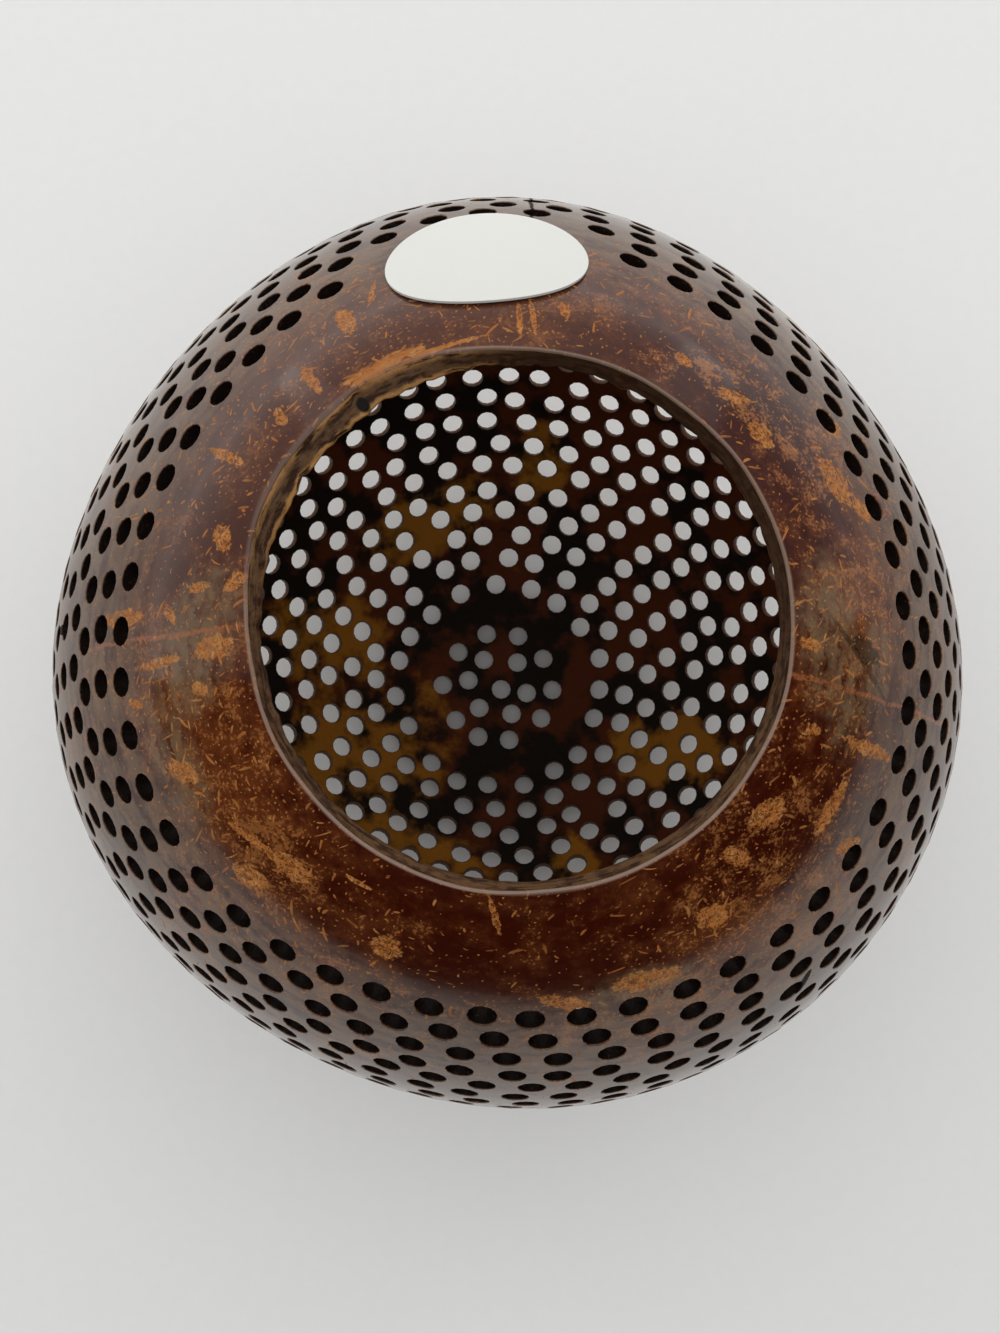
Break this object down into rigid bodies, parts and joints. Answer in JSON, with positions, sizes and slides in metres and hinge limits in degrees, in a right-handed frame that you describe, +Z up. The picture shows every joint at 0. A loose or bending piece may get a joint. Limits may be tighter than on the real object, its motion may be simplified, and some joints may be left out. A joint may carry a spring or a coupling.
{
  "type": "pierced coconut shell bowl",
  "caption": "Natural coconut shell with a wide mouth sawn in its top, drilled all over with rows of small round holes, with a blank oval paper label beside the mouth.",
  "frame": {"origin": "on the table under the middle of the shell's bounding box, in the plane of the sanded flat", "axes": "+Z up through the mouth, +Y from the middle towards the paper label"},
  "size_m": [0.1226, 0.1232, 0.1115],
  "materials": {
    "coconut_shell": "polished and lightly lacquered, dark red-brown with pale husk-fibre flecks",
    "paper": "smooth matte white"
  },
  "bodies": {
    "root": {"coconut_shell": "coconut_shell", "paper_label": "paper"}
  },
  "joints": []
}
